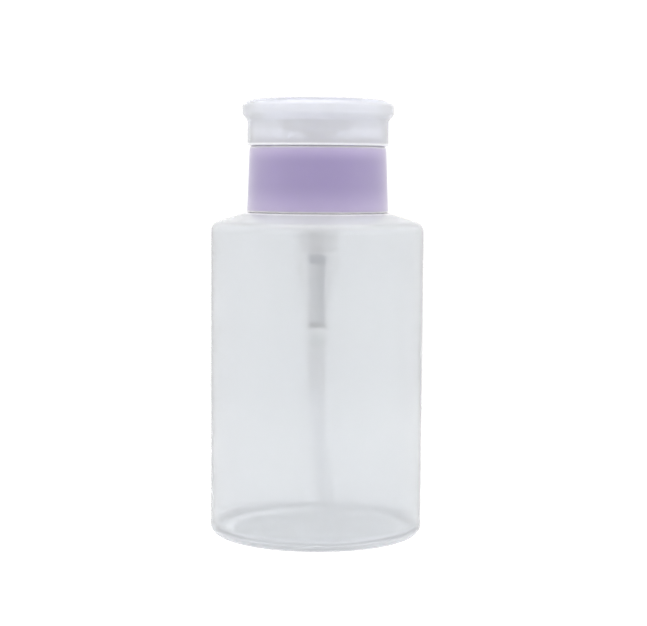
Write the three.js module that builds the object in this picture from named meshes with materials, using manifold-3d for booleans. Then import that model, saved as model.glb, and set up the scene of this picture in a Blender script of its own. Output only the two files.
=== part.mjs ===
// A press-down dispenser bottle for nail polish remover: a frosted bottle, a screw collar that clamps a
// ball-valve pump on its neck, a dish that is pressed to fill it, and a dust cap over the dish.
// Millimetres, +Z up, origin at the middle of the base.
import * as THREE from "three";
import { mergeVertices } from "three/addons/utils/BufferGeometryUtils.js";
import Module from "manifold-3d";

// Bottle
const bodyRadius = 30;
const bodyWall = 1;
const baseThickness = 1;
const baseRecess = 0.8; // hollow under the base
const baseCorner = 3;
const standingRing = 4; // width of the flat ring that the bottle stands on
const seatHeight = 91.05; // flat top of the shoulder, under the collar
const shoulderSlope = 17; // degrees
const shoulderCorner = 3.2;
const neckBore = 14.6; // radius
const neckWall = 1.5;
const neckHeight = 14.55;

// Screw thread, alike on neck and collar
const threadPitch = 4;
const threadHeight = 1.1;
const threadClearance = 0.4; // crest to wall
const threadFlankGap = 0.35;
const threadFlank = 25; // degrees
const threadStart = 1.2; // above the shoulder
const neckThreadTurns = 1.5;
const collarThreadLag = 0.35; // turns that the collar's thread begins after the neck's
const collarThreadTurns = 1.25;
const threadRunOut = 0.12; // turns over which an end fades into the wall
const threadRoot = 0.3; // depth that a ridge is rooted in its wall

// Screw collar
const collarWall = 1.65;
const collarFlare = 0.6; // wider at the foot than at the top
const collarFootGap = 0.1;
const collarPlate = 1.3;
const collarEdgeHeight = 2;
const collarEdgeInset = 0.6;
const spigotSetback = 0.9; // from the collar's side to the spigot that the cap sits on
const spigotWall = 1;
const spigotHeight = 1.8;
const shoulderMargin = 0.2; // flat shoulder beyond the collar's foot
const beadReach = 0.4; // the collar's bead under the pump's flange
const beadHeight = 0.6;

// Dust cap
const capWall = 1.2;
const capTop = 1.1;
const capClearance = 0.25; // round the spigot
const capLedge = 0.6; // step inside the cap that rests on the spigot
const capFootGap = 0.1; // between the cap's foot and the collar
const capHeadroom = 4.1; // over the rim of the dish
const capCorner = 2; // inside, under the top
const lipReach = 1.5;
const lipDrop = 2.3; // from the flat top to the widest part of the lip
const lipBand = 1.5; // height of the widest part
const lipUnder = 1.3; // from the widest part down to the skirt
const lipRoll = 6.4; // width of the rolled edge

// Press dish, with the hub that carries the stem
const pressStroke = 4;
const pressMargin = 0.25; // left under the dish when it is pressed down
const dishFloor = 9.5; // radius
const dishFlare = 2.8; // from the floor out to the rim
const dishRise = 1.4; // of the floor, from the hub outwards
const dishSide = 2.3; // from the floor up to the rim
const dishWall = 1;
const hubWall = 1.15;
const hubDepth = 1.2; // of the hub in the collar's plate at rest
const hubClearance = 0.5;
const insertWall = 0.75;
const insertTop = 0.8;
const insertHeadroom = 0.4; // over the ring that the insert sits on
const insertSlots = 4;
const slotWidth = 0.7;
const slotInset = 0.35; // from the stop pin to a slot
const slotLength = 1.2;
const bossWall = 0.9; // ring in the dish that the insert sits on
const bossHeight = 1;
const stopPin = 0.65; // radius of the pin that stops the outlet ball
const stopPinLength = 1.6;

// Valve balls
const outletBall = 1.5;
const inletBall = 2;
const ballLift = 1.2;
const ballPlay = 0.35; // beside a ball in its chamber
const ballGap = 0.1; // between a ball at rest and its seat
const seatLand = 0.25; // of a seat, inside the ball's line of contact

// Stem and piston
const stemWall = 0.45; // beside the outlet ball
const stemStep = 0.4; // narrower inside the piston
const noseLength = 3.4; // guide inside the top of the spring
const pistonWaist = 0.9;
const pistonLip = 1.6;
const pistonMiddle = 1.8; // between the two lips
const pistonDrop = 27.2; // from the flange to the foot of the piston at rest

// Housing and its retainer
const barrelWall = 1.05;
const springTubeWall = 0.75;
const coneShare = 0.35; // of the way from the chamber's end to the spring's seat
const coneFoot = 0.6; // wider than the spring's bore where the cone ends
const taperShare = 0.64; // of the same way, where the slow taper ends
const inletLength = 1;
const socketLength = 10.8;
const socketWall = 0.5;
const flangeThickness = 1.6;
const flangeReach = 0.5; // beyond the neck
const plugClearance = 0.8; // between the flange's plug and the neck
const plugWall = 0.9;
const plugDepth = 2;
const ventRadius = 0.6;
const ventDrop = 7;
const retainerLip = 0.9;
const retainerPlate = 0.85;
const retainerWall = 1.1;
const retainerFloor = 1;
const sleeveWall = 1.2;
const gasketThickness = 1;
const gasketInset = 0.2;

// Return spring
const springLedge = 0.25; // of the wire on its seat, beyond the inlet ball's chamber
const springWire = 0.6;
const springLength = 21.3;
const springClearance = 0.3;
const springPitch = 1.15; // of the open turns
const springFootTurns = 2; // close turns
const springHeadTurns = 4;
const springCloseGap = 0.45; // between close turns

// Dip tube
const tubeRadius = 2.2;
const tubeWall = 0.7;
const tubeReach = 5; // sideways at its lower end
const tubeFloorGap = 0.4;
const tubeCut = 20; // degrees, at its lower end

// Gaps between pieces
const seatGap = 0.05;
const runningGap = 0.1;
const stopGap = 0.2;

// Facets of round pieces
const wideFacets = 48;
const middleFacets = 32;
const smallFacets = 24;
const ballFacets = 16;
const threadSteps = 32; // in a turn
const coilSteps = 8; // in a turn
const wireSides = 5;
const tubeSides = 10;
const tubeSteps = 16;

// Radii that follow from the neck
const neckRadius = neckBore + neckWall;
const neckCrest = neckRadius + threadHeight;
const collarBore = neckCrest + threadClearance;
const collarCrest = neckRadius + threadClearance;
const collarTopRadius = collarBore + collarWall;
const collarFootRadius = collarTopRadius + collarFlare;
const seatRadius = collarFootRadius + shoulderMargin;
const flangeRadius = neckRadius + flangeReach;
const plugRadius = neckBore - plugClearance;
const spigotOuter = collarTopRadius - spigotSetback;
const spigotInner = spigotOuter - spigotWall;
const capBore = spigotOuter + capClearance;
const capRadius = capBore + capWall;

// Radii that follow from the outlet ball
const outletBore = outletBall + ballPlay;
const stemBore = outletBall / Math.SQRT2 - seatLand;
const stemRadius = outletBore + stemWall;
const hubRadius = stemRadius + seatGap + hubWall;
const cupRadius = hubRadius + hubClearance;
const retainerRadius = cupRadius + retainerWall;
const chamberBore = retainerRadius + runningGap;
const barrelRadius = chamberBore + barrelWall;
const retainerRim = chamberBore + retainerLip;
const bossRadius = outletBore + bossWall;
const insertBore = bossRadius + runningGap;

// Radii that follow from the inlet ball
const ballBore = inletBall + ballPlay;
const inletBore = inletBall / Math.SQRT2 - seatLand;
const springOuter = ballBore + springLedge;
const springMean = springOuter - springWire / 2;
const springBore = springOuter + springClearance;
const noseRadius = springOuter - springWire - springClearance - runningGap;
const socketBore = tubeRadius + runningGap;

// Heights from the base up
const floorHeight = baseRecess + baseThickness;
const neckTop = seatHeight + neckHeight;
const gasketFoot = neckTop + seatGap;
const flangeFoot = gasketFoot + gasketThickness + seatGap;
const flangeTop = flangeFoot + flangeThickness;
const collarFoot = seatHeight + collarFootGap;
const collarTop = flangeTop + seatGap + collarPlate;
const collarHeight = collarTop - collarFoot;
const threadHeightAtStart = seatHeight + threadStart + threadPitch / 2;
const dishUnder = collarTop + pressStroke + pressMargin;
const dishHeight = dishRise + dishSide;
const hubFoot = collarTop - hubDepth;
const capFoot = collarTop + capFootGap;
const capHeight = dishUnder + dishHeight + capHeadroom + capTop - capFoot;

// Heights from the insert in the dish down to the stem
const insertFoot = dishUnder + dishWall + seatGap;
const insertCeiling = bossHeight + insertHeadroom;
const insertHeight = insertCeiling + insertTop;
const outletBallRest = insertFoot + insertCeiling - stopPinLength - stopGap - ballLift - outletBall;
const outletApex = outletBallRest - (outletBall + ballGap) * Math.SQRT2; // of the 45 degree seat
const stemTop = outletApex + outletBore;

// Heights from the flange down
const pistonHeight = 2 * (pistonLip + pistonWaist) + pistonMiddle;
const pistonFoot = flangeFoot - pistonDrop;
const chamberEnd = pistonFoot - pressStroke - stopGap;
const springFoot = pistonFoot - seatGap - springLength;
const springSeat = springFoot - seatGap;
const inletBallRest = springSeat - ballLift - stopGap - inletBall;
const inletApex = inletBallRest - (inletBall + ballGap) * Math.SQRT2; // of the 45 degree seat
const tubeStop = inletApex + inletBore - inletLength;
const tubeTop = tubeStop - runningGap;
const socketEnd = tubeStop - socketLength;
const cupFloor = hubFoot - pressStroke - stopGap;

const wasm = await Module();
wasm.setup();

// Points on an arc about (r, z), both ends included, in degrees up from the outward direction.
function arc(r, z, reach, from, to, steps, rise = reach) {
  const points = [];
  for (let i = 0; i <= steps; i += 1) {
    const angle = THREE.MathUtils.degToRad(from + ((to - from) * i) / steps);
    points.push([r + reach * Math.cos(angle), z + rise * Math.sin(angle)]);
  }
  return points;
}

// Turns an outline of [radius, height] points about Z. One that keeps off the axis is closed first.
function turned(outline, facets) {
  const loop = outline[0][0] > 0 ? [...outline, outline[0]] : outline;
  const points = loop.map(([r, z]) => new THREE.Vector2(r, z));
  return new THREE.LatheGeometry(points, facets).rotateX(Math.PI / 2);
}

// Joins rings of points into one skin with flat ends.
function skinned(rings) {
  const count = rings[0].length;
  const last = (rings.length - 1) * count;
  const index = [];
  for (let start = 0; start < last; start += count) {
    for (let j = 0; j < count; j += 1) {
      const a = start + j;
      const b = start + ((j + 1) % count);
      index.push(a, b, b + count, a, b + count, a + count);
    }
  }
  for (let j = 1; j + 1 < count; j += 1) {
    index.push(0, j + 1, j, last, last + j, last + j + 1);
  }
  return new THREE.BufferGeometry().setFromPoints(rings.flat()).setIndex(index);
}

function solidOf(geometry) {
  const bare = geometry.clone();
  bare.deleteAttribute("normal");
  bare.deleteAttribute("uv");
  const merged = mergeVertices(bare);
  const vertProperties = merged.attributes.position.array;
  const triVerts = new Uint32Array(merged.index.array);
  return new wasm.Manifold(new wasm.Mesh({ numProp: 3, vertProperties, triVerts }));
}

function geometryOf(solid) {
  const { vertProperties, triVerts } = solid.getMesh();
  return new THREE.BufferGeometry()
    .setAttribute("position", new THREE.BufferAttribute(vertProperties, 3))
    .setIndex(new THREE.BufferAttribute(triVerts, 1));
}

// A point at a turn about Z, counted anticlockwise from +X.
function atTurn(turn, radius, height) {
  const angle = 2 * Math.PI * turn;
  return new THREE.Vector3(radius * Math.cos(angle), radius * Math.sin(angle), height);
}

// A right-hand ridge with sloping flanks, from a root in its wall to a crest.
function threadRidge(firstTurn, turns, wallRadius, crestRadius, height) {
  const outward = Math.sign(crestRadius - wallRadius);
  const rootRadius = wallRadius - outward * threadRoot;
  const middle = (neckCrest + collarCrest) / 2;
  const middleHalf = (threadPitch / 2 - threadFlankGap) / 2;
  const taper = Math.tan(THREE.MathUtils.degToRad(threadFlank)) * outward;
  const half = (radius) => middleHalf + taper * (middle - radius);
  const steps = Math.round(turns * threadSteps);
  const rings = [];
  for (let i = 0; i <= steps; i += 1) {
    const along = (turns * i) / steps;
    const nearEnd = Math.min(along, turns - along) / threadRunOut;
    const grown = threadRoot / threadHeight / 2 + (1 - threadRoot / threadHeight / 2) * Math.min(nearEnd, 1);
    const tipRadius = rootRadius + (crestRadius - rootRadius) * grown;
    const turn = firstTurn + along;
    const z = height + threadPitch * turn;
    const [low, high] = outward > 0 ? [rootRadius, tipRadius] : [tipRadius, rootRadius];
    rings.push([
      atTurn(turn, low, z - half(low)),
      atTurn(turn, low, z + half(low)),
      atTurn(turn, high, z + half(high)),
      atTurn(turn, high, z - half(high)),
    ]);
  }
  return skinned(rings);
}

function bottle() {
  const slope = THREE.MathUtils.degToRad(shoulderSlope);
  const corner = Math.min(shoulderCorner, (bodyRadius - seatRadius) / (1 - Math.sin(slope)));
  const cornerRadius = bodyRadius - corner;
  const slopeRun = cornerRadius + corner * Math.sin(slope) - seatRadius;
  const cornerHeight = seatHeight - slopeRun * Math.tan(slope) - corner * Math.cos(slope);
  const innerCorner = Math.max(corner - bodyWall, seatGap);
  const ringRadius = bodyRadius - baseCorner;
  const recessRadius = ringRadius - standingRing;
  const heel = Math.max(baseCorner - bodyWall, seatGap);
  const heelRadius = bodyRadius - bodyWall - heel;
  const underSeat = seatHeight - bodyWall;
  const outline = [
    [0, baseRecess],
    [recessRadius - baseRecess, baseRecess],
    [recessRadius, 0],
    ...arc(ringRadius, baseCorner, baseCorner, -90, 0, 4),
    ...arc(cornerRadius, cornerHeight, corner, 0, 90 - shoulderSlope, 4),
    [seatRadius, seatHeight],
    [neckRadius, seatHeight],
    [neckRadius, neckTop],
    [neckBore, neckTop],
    [neckBore, underSeat],
    [seatRadius - bodyWall * Math.tan(slope / 2), underSeat],
    ...arc(bodyRadius - bodyWall - innerCorner, cornerHeight, innerCorner, 90 - shoulderSlope, 0, 3),
    ...arc(heelRadius, floorHeight + heel, heel, 0, -90, 3),
    [0, floorHeight],
  ];
  const ridge = threadRidge(0, neckThreadTurns, neckRadius, neckCrest, threadHeightAtStart);
  return geometryOf(solidOf(turned(outline, wideFacets)).add(solidOf(ridge)));
}

// From here on each piece has its own foot at height 0, unless it says otherwise.
function screwCollar() {
  const underPlate = collarHeight - collarPlate;
  const beadRadius = flangeRadius - beadReach;
  const beadTop = flangeFoot - runningGap - collarFoot;
  const beadFoot = beadTop - beadHeight;
  const holeRadius = hubRadius + hubClearance;
  const outline = [
    [collarBore, 0],
    [collarFootRadius, 0],
    ...arc(
      collarTopRadius - collarEdgeInset,
      collarHeight - collarEdgeHeight,
      collarEdgeInset,
      0,
      90,
      3,
      collarEdgeHeight,
    ),
    [spigotOuter, collarHeight],
    [spigotOuter, collarHeight + spigotHeight],
    [spigotInner, collarHeight + spigotHeight],
    [spigotInner, collarHeight],
    [holeRadius, collarHeight],
    [holeRadius, underPlate],
    [collarBore, underPlate],
    [collarBore, beadTop],
    [beadRadius, beadTop],
    [beadRadius, beadFoot],
    [collarBore, beadFoot - (collarBore - beadRadius) / 2],
  ];
  const ridgeHeight = threadHeightAtStart - threadPitch / 2 - collarFoot;
  const ridge = threadRidge(collarThreadLag, collarThreadTurns, collarBore, collarCrest, ridgeHeight);
  return geometryOf(solidOf(turned(outline, wideFacets)).add(solidOf(ridge)));
}

function dustCap() {
  const ceiling = capHeight - capTop;
  const ledge = collarTop + spigotHeight + seatGap - capFoot;
  const innerRadius = capBore - capLedge;
  const lipRadius = capRadius + lipReach;
  const lipTop = capHeight - lipDrop;
  const lipFoot = lipTop - lipBand;
  const outline = [
    [0, ceiling],
    ...arc(innerRadius - capCorner, ceiling - capCorner, capCorner, 90, 0, 3),
    [innerRadius, ledge],
    [capBore, ledge],
    [capBore, 0],
    [capRadius, 0],
    ...arc(capRadius, lipFoot, lipReach, -90, 0, 3, lipUnder),
    ...arc(lipRadius - lipRoll, lipTop, lipRoll, 0, 90, 6, lipDrop),
    [0, capHeight],
  ];
  return turned(outline, wideFacets);
}

function pressDish() {
  const under = dishUnder - hubFoot;
  const over = under + dishWall;
  const rim = dishFloor + dishFlare;
  const socketTop = stemTop + seatGap - hubFoot;
  const outline = [
    [stemRadius + seatGap, 0],
    [hubRadius, 0],
    [hubRadius, under],
    [dishFloor, under + dishRise],
    [rim, under + dishHeight],
    [rim - dishWall / 2, under + dishHeight],
    [dishFloor - dishWall / 2, over + dishRise],
    [insertBore + insertWall + runningGap, over],
    [bossRadius, over],
    [bossRadius, over + bossHeight],
    [outletBore, over + bossHeight],
    [outletBore, socketTop],
    [stemRadius + seatGap, socketTop],
  ];
  return turned(outline, middleFacets);
}

// The slotted button over the outlet ball. Its pin reaches down to stop the ball.
function outletInsert() {
  const pinFoot = insertCeiling - stopPinLength;
  const radius = insertBore + insertWall;
  const crown = insertTop / 2;
  const outline = [
    [0, pinFoot],
    [stopPin, pinFoot],
    [stopPin, insertCeiling],
    [insertBore, insertCeiling],
    [insertBore, 0],
    [radius, 0],
    ...arc(radius - insertTop, insertHeight - crown, insertTop, 0, 90, 3, crown),
    [0, insertHeight],
  ];
  let solid = solidOf(turned(outline, smallFacets));
  for (let i = 0; i < insertSlots; i += 1) {
    const slot = new THREE.BoxGeometry(slotLength, slotWidth, insertHeight)
      .translate(stopPin + slotInset + slotLength / 2, 0, insertCeiling + insertHeight / 2 - runningGap)
      .rotateZ((2 * Math.PI * i) / insertSlots);
    solid = solid.subtract(solidOf(slot));
  }
  return geometryOf(solid);
}

function pistonStem() {
  const foot = pistonFoot - noseLength;
  const inPiston = stemRadius - stemStep;
  const noseBore = noseRadius / 2;
  const outline = [
    [noseBore, 0],
    [noseRadius, 0],
    [noseRadius, noseLength],
    [inPiston, noseLength],
    [inPiston, noseLength + pistonHeight],
    [stemRadius, noseLength + pistonHeight],
    [stemRadius, stemTop - foot],
    [outletBore, stemTop - foot],
    [stemBore, outletApex + stemBore - foot],
    [stemBore, noseLength],
    [noseBore, noseLength],
  ];
  return turned(outline, smallFacets);
}

function piston() {
  const radius = chamberBore - runningGap;
  const bore = stemRadius - stemStep + seatGap;
  const top = pistonHeight - seatGap;
  const outline = [
    [bore, 0],
    [radius - pistonLip / 2, 0],
    [radius, pistonLip / 2],
    [radius, pistonLip],
    [radius - pistonWaist, pistonLip + pistonWaist],
    [radius - pistonWaist, top - pistonLip - pistonWaist],
    [radius, top - pistonLip],
    [radius, top],
    [bore, top],
  ];
  return turned(outline, smallFacets);
}

// Height 0 is the underside of the flange.
function pumpHousing() {
  const low = (height) => height - flangeFoot;
  const springTube = springBore + springTubeWall;
  const coneEnd = THREE.MathUtils.lerp(chamberEnd, springSeat, coneShare);
  const taperEnd = THREE.MathUtils.lerp(chamberEnd, springSeat, taperShare);
  const ledge = flangeThickness - retainerPlate - seatGap;
  const counterbore = retainerRim + runningGap;
  const ballSeat = inletApex + ballBore;
  const outline = [
    [socketBore, low(socketEnd)],
    [socketBore + socketWall, low(socketEnd)],
    [socketBore + socketWall, low(tubeStop)],
    [springTube, low(springSeat)],
    [springTube, low(taperEnd)],
    [springTube + coneFoot, low(coneEnd)],
    [barrelRadius, low(chamberEnd)],
    [barrelRadius, 0],
    [plugRadius - plugWall, 0],
    [plugRadius - plugWall, -plugDepth],
    [plugRadius, -plugDepth],
    [plugRadius, 0],
    [flangeRadius, 0],
    [flangeRadius, flangeThickness],
    [counterbore, flangeThickness],
    [counterbore, ledge],
    [chamberBore, ledge],
    [chamberBore, low(chamberEnd)],
    [springBore + coneFoot, low(coneEnd)],
    [springBore, low(taperEnd)],
    [springBore, low(springSeat)],
    [ballBore, low(springSeat)],
    [ballBore, low(ballSeat)],
    [inletBore, low(inletApex + inletBore)],
    [inletBore, low(tubeStop)],
    [socketBore, low(tubeStop)],
  ];
  const vent = new THREE.CylinderGeometry(ventRadius, ventRadius, barrelRadius, ballFacets)
    .translate(0, chamberBore + barrelWall / 2, -ventDrop);
  return geometryOf(solidOf(turned(outline, middleFacets)).subtract(solidOf(vent)));
}

// Height 0 is the underside of the rim that lies in the flange.
function stemRetainer() {
  const rimFoot = flangeTop - retainerPlate;
  const floor = cupFloor - rimFoot;
  const guide = stemRadius + runningGap;
  const sleeve = guide + stopGap;
  const sleeveFoot = pistonFoot + pistonHeight + stopGap - rimFoot;
  const outline = [
    [sleeve, sleeveFoot],
    [sleeve + sleeveWall, sleeveFoot],
    [sleeve + sleeveWall, floor - retainerFloor],
    [retainerRadius, floor - retainerFloor],
    [retainerRadius, 0],
    [retainerRim, 0],
    [retainerRim, retainerPlate],
    [cupRadius, retainerPlate],
    [cupRadius, floor],
    [guide, floor],
    [guide, floor - retainerFloor],
    [sleeve, floor - retainerFloor],
  ];
  return turned(outline, smallFacets);
}

function neckGasket() {
  const inner = plugRadius + gasketInset;
  const outer = neckRadius - gasketInset;
  const outline = [
    [inner, 0],
    [outer, 0],
    [outer, gasketThickness],
    [inner, gasketThickness],
  ];
  return turned(outline, wideFacets);
}

function ball(radius) {
  return new THREE.SphereGeometry(radius, ballFacets, ballFacets / 2).rotateX(Math.PI / 2);
}

// The middle of the wire: close turns, open turns and close turns, with a straight stretch at each end.
function springLine() {
  const closePitch = springWire + springCloseGap;
  const closeTurns = springFootTurns + springHeadTurns;
  const openTurns = (springLength - springWire - closePitch * closeTurns) / springPitch;
  const turns = closeTurns + openTurns;
  const rise = (turn) => {
    const opened = THREE.MathUtils.clamp(turn - springFootTurns, 0, openTurns);
    return closePitch * (turn - opened) + springPitch * opened;
  };
  const steps = Math.round(turns * coilSteps);
  const line = [];
  for (let i = 0; i <= steps; i += 1) {
    const turn = (turns * i) / steps;
    line.push(atTurn(turn, springMean, springWire / 2 + rise(turn)));
  }
  const runOut = (turn, way) => atTurn(turn + 1 / 4, way * springWire, 0);
  const first = line[0].clone().add(runOut(0, -1));
  const last = line[steps].clone().add(runOut(turns, 1));
  return [first, ...line, last];
}

function leastGap(line) {
  let least = Infinity;
  line.forEach((point, i) => {
    line.slice(i + coilSteps / 2).forEach((other) => {
      least = Math.min(least, point.distanceTo(other));
    });
  });
  return least - springWire;
}

function returnSpring() {
  const line = springLine();
  console.log(`return_spring: least gap to itself ${leastGap(line).toFixed(2)} mm`);
  const up = new THREE.Vector3(0, 0, 1);
  const rings = line.map((point) => {
    const out = new THREE.Vector3(point.x, point.y, 0).normalize();
    return Array.from({ length: wireSides }, (_, side) => {
      const angle = (2 * Math.PI * side) / wireSides;
      return point
        .clone()
        .addScaledVector(up, (springWire / 2) * Math.cos(angle))
        .addScaledVector(out, (springWire / 2) * Math.sin(angle));
    });
  });
  return skinned(rings);
}

// Straight in its socket, then bending to one side. Modelled in place, with a slanting lower end.
function dipTube() {
  const end = floorHeight + tubeFloorGap;
  const points = [];
  for (let i = 0; i <= tubeSteps; i += 1) {
    const z = tubeTop + ((end - tubeTop) * i) / tubeSteps;
    const bent = Math.max(socketEnd - z, 0) / (socketEnd - end);
    points.push(new THREE.Vector3(tubeReach * bent * bent, 0, z));
  }
  const section = new THREE.Shape().absarc(0, 0, tubeRadius, 0, 2 * Math.PI);
  section.holes.push(new THREE.Path().absarc(0, 0, tubeRadius - tubeWall, 0, 2 * Math.PI, true));
  const tube = new THREE.ExtrudeGeometry(section, {
    steps: tubeSteps,
    curveSegments: tubeSides / 2,
    extrudePath: new THREE.CatmullRomCurve3(points),
  });
  const lean = THREE.MathUtils.degToRad(tubeCut);
  const size = bodyRadius;
  const cut = new THREE.BoxGeometry(size, size, size)
    .translate(0, 0, -size / 2)
    .rotateY(-lean)
    .translate(tubeReach, 0, end + tubeRadius * Math.tan(lean));
  return geometryOf(solidOf(tube).subtract(solidOf(cut)));
}

function piece(name, geometry, foot, color, roughness, metalness = 0) {
  const mesh = new THREE.Mesh(geometry, new THREE.MeshStandardMaterial({ color, roughness, metalness }));
  mesh.name = name;
  mesh.position.z = foot;
  return mesh;
}

const pressHead = new THREE.Group().add(
  piece("press_dish", pressDish(), hubFoot, 0xdcdfe4, 0.4),
  piece("outlet_insert", outletInsert(), insertFoot, 0xe4e7ea, 0.4),
  piece("outlet_ball", ball(outletBall), outletBallRest, 0xcfdcdc, 0.05),
  piece("piston_stem", pistonStem(), pistonFoot - noseLength, 0xd8dbe0, 0.4),
  piece("piston", piston(), pistonFoot, 0xe6e8ea, 0.5),
);

const pump = new THREE.Group().add(
  piece("pump_housing", pumpHousing(), flangeFoot, 0xdde0e4, 0.45),
  piece("stem_retainer", stemRetainer(), flangeTop - retainerPlate, 0xe2e4e8, 0.45),
  piece("neck_gasket", neckGasket(), gasketFoot, 0xeceeee, 0.7),
  piece("return_spring", returnSpring(), springFoot, 0x9a9da2, 0.3, 1),
  piece("inlet_ball", ball(inletBall), inletBallRest, 0xcfdcdc, 0.05),
  piece("dip_tube", dipTube(), 0, 0xe2e6ea, 0.4),
  pressHead,
);

const closure = new THREE.Group().add(
  piece("screw_collar", screwCollar(), collarFoot, 0xb4a3d0, 0.35),
  piece("dust_cap", dustCap(), capFoot, 0xe3e8ec, 0.35),
);

const dispenser = new THREE.Group().add(piece("bottle", bottle(), 0, 0xdfe1e5, 0.5), pump, closure);

export default dispenser;
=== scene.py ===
import math

import bpy
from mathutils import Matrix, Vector


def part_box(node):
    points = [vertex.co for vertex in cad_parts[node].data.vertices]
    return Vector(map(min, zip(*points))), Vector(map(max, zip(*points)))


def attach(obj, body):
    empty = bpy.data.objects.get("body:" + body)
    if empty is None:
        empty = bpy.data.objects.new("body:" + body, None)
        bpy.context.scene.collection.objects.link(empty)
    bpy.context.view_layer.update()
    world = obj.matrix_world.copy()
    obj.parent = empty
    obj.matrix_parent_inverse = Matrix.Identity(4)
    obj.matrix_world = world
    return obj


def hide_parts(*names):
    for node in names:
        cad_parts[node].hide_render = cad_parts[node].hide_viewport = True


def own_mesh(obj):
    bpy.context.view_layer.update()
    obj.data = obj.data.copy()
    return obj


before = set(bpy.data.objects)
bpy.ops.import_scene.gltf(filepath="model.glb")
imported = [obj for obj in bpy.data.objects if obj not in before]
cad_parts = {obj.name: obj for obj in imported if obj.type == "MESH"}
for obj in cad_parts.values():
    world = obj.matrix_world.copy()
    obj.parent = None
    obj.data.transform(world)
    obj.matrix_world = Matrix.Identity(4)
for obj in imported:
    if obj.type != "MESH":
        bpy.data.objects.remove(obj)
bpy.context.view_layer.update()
mm = 0.001
print("frame: loaded", len(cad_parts), "nodes")


# shared helpers

meshSizes = {"sharpAngle": 35, "filletSteps": 5, "filletRoom": 0.48}  # a fillet takes under half of an edge
hair, fine, small, eased = 0.05, 0.1, 0.15, 0.2  # fillets in mm for creases and edges that are barely seen


def linear(hexColour):  # sRGB hex to the linear colour that shaders take
    channels = [int(hexColour[i:i + 2], 16) / 255 for i in (1, 3, 5)]
    return [c / 12.92 if c <= 0.04045 else ((c + 0.055) / 1.055) ** 2.4 for c in channels] + [1.0]


def addNode(tree, kind, inputs=None, **settings):  # one node with its settings, values and links
    made = tree.nodes.new(kind)
    for name, value in settings.items():
        setattr(made, name, value)
    for key, value in (inputs or {}).items():
        if isinstance(value, bpy.types.Node):
            value = value.outputs[0]
        if isinstance(value, bpy.types.NodeSocket):
            tree.links.new(value, made.inputs[key])
        else:
            made.inputs[key].default_value = value
    return made


def spanOf(node):  # foot, top and radius of a CAD node, in mm
    low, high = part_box(node)
    return low.z / mm, high.z / mm, (high.y - low.y) / 2 / mm


def rounded(corners, steps=meshSizes["filletSteps"]):
    # corners are (radius, height, fillet) in mm; they make a closed loop unless the first is on the axis
    count = len(corners)
    onAxis = corners[0][0] == 0
    points = []
    for i, (r, z, *fillet) in enumerate(corners):
        here = Vector((r, z))
        if not fillet or (onAxis and i in (0, count - 1)):
            points.append(here)
            continue
        before = Vector(corners[i - 1][:2]) - here
        after = Vector(corners[(i + 1) % count][:2]) - here
        half = before.angle(after) / 2
        room = min(before.length, after.length) * meshSizes["filletRoom"]
        setback = min(fillet[0] / math.tan(half), room)
        centre = here + (before.normalized() + after.normalized()).normalized() * setback / math.cos(half)
        start = here + before.normalized() * setback - centre
        sweep = start.angle_signed(here + after.normalized() * setback - centre)
        for k in range(steps + 1):
            turn = -sweep * k / steps
            points.append(centre + Vector((
                start.x * math.cos(turn) - start.y * math.sin(turn),
                start.x * math.sin(turn) + start.y * math.cos(turn),
            )))
    return [(p.x, p.y) for p in points]


def meshPiece(name, verts, faces, material):
    mesh = bpy.data.meshes.new(name)
    mesh.from_pydata([[c * mm for c in v] for v in verts], [], faces)
    mesh.polygons.foreach_set("use_smooth", [True] * len(mesh.polygons))
    mesh.set_sharp_from_angle(angle=math.radians(meshSizes["sharpAngle"]))
    mesh.materials.append(material)
    mesh.validate()
    made = bpy.data.objects.new(name, mesh)
    bpy.context.scene.collection.objects.link(made)
    return made


def turned(name, outline, material, facets):  # spins an outline of (radius, height) points about Z
    closed = outline[0][0] > 0
    verts, rings, faces = [], [], []
    for r, z in outline:
        if r == 0:  # a pole on the axis
            rings.append([len(verts)] * facets)
            verts.append((0, 0, z))
            continue
        rings.append(range(len(verts), len(verts) + facets))
        for j in range(facets):
            angle = math.tau * j / facets
            verts.append((r * math.cos(angle), r * math.sin(angle), z))
    for low, high in zip(rings, rings[1:] + rings[:1] if closed else rings[1:]):
        for j in range(facets):
            k = (j + 1) % facets
            corners = dict.fromkeys((low[j], low[k], high[k], high[j]))  # only three at a pole
            faces.append(list(corners))
    return meshPiece(name, verts, faces, material)


def nodeTree(name, inputs):  # an empty Geometry Nodes tree; its named inputs are listed by kind
    tree = bpy.data.node_groups.new(name, "GeometryNodeTree")
    tree.interface.new_socket("Geometry", in_out="INPUT", socket_type="NodeSocketGeometry")
    for kind, labels in {**inputs, "Material": ["Material"]}.items():
        for label in labels:
            tree.interface.new_socket(label, in_out="INPUT", socket_type="NodeSocket" + kind)
    tree.interface.new_socket("Geometry", in_out="OUTPUT", socket_type="NodeSocketGeometry")
    return tree, addNode(tree, "NodeGroupInput").outputs


def endTree(tree, geometry, material):  # every tree ends in plain geometry with its material
    plain = addNode(tree, "GeometryNodeRealizeInstances", {"Geometry": geometry})
    coated = addNode(tree, "GeometryNodeSetMaterial", {"Geometry": plain, "Material": material})
    addNode(tree, "NodeGroupOutput", {0: coated})
    return tree


def grown(piece, tree, values):  # runs a tree on a piece and keeps its result as a plain mesh
    modifier = piece.modifiers.new(tree.name, "NODES")
    modifier.node_group = tree
    identifiers = {s.name: s.identifier for s in tree.interface.items_tree if s.in_out == "INPUT"}
    for label, value in values.items():
        modifier[identifiers[label]] = value
    bpy.context.view_layer.update()
    evaluated = piece.evaluated_get(bpy.context.evaluated_depsgraph_get())
    mesh = bpy.data.meshes.new_from_object(evaluated)
    piece.modifiers.remove(modifier)
    piece.data = mesh
    mesh.name = piece.name
    return piece


def settle(piece, body, node):  # where a finished piece belongs
    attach(piece, body)
    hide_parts(node)
    return piece


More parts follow.
